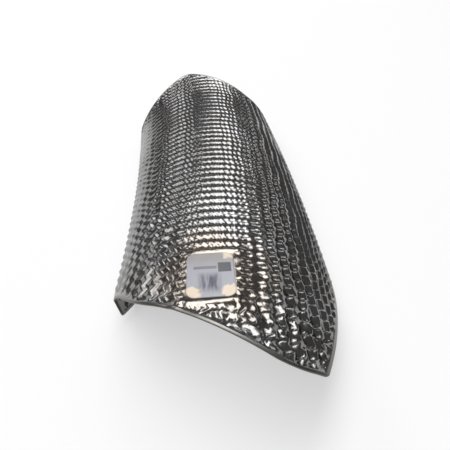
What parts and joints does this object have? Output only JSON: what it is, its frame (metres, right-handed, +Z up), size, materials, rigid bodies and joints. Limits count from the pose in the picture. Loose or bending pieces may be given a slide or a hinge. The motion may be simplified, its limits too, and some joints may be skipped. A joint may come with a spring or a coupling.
{
  "type": "heat shield",
  "caption": "Half-round tunnel of embossed metal foil with slanted hemmed ends, one return flange and a blank label; shields parts from a hot pipe.",
  "frame": {"origin": "middle of the footprint of the shield, on the surface it lies on", "axes": "+X across the tunnel, +Y along the tunnel to its back end, +Z up, away from the open side"},
  "size_m": [0.1192, 0.2584, 0.0506],
  "materials": {
    "foil": "bright rolled foil, pressed all over with small dimples",
    "label": "satin silver film"
  },
  "bodies": {
    "root": {"shield": "foil", "label": "label"}
  },
  "joints": []
}
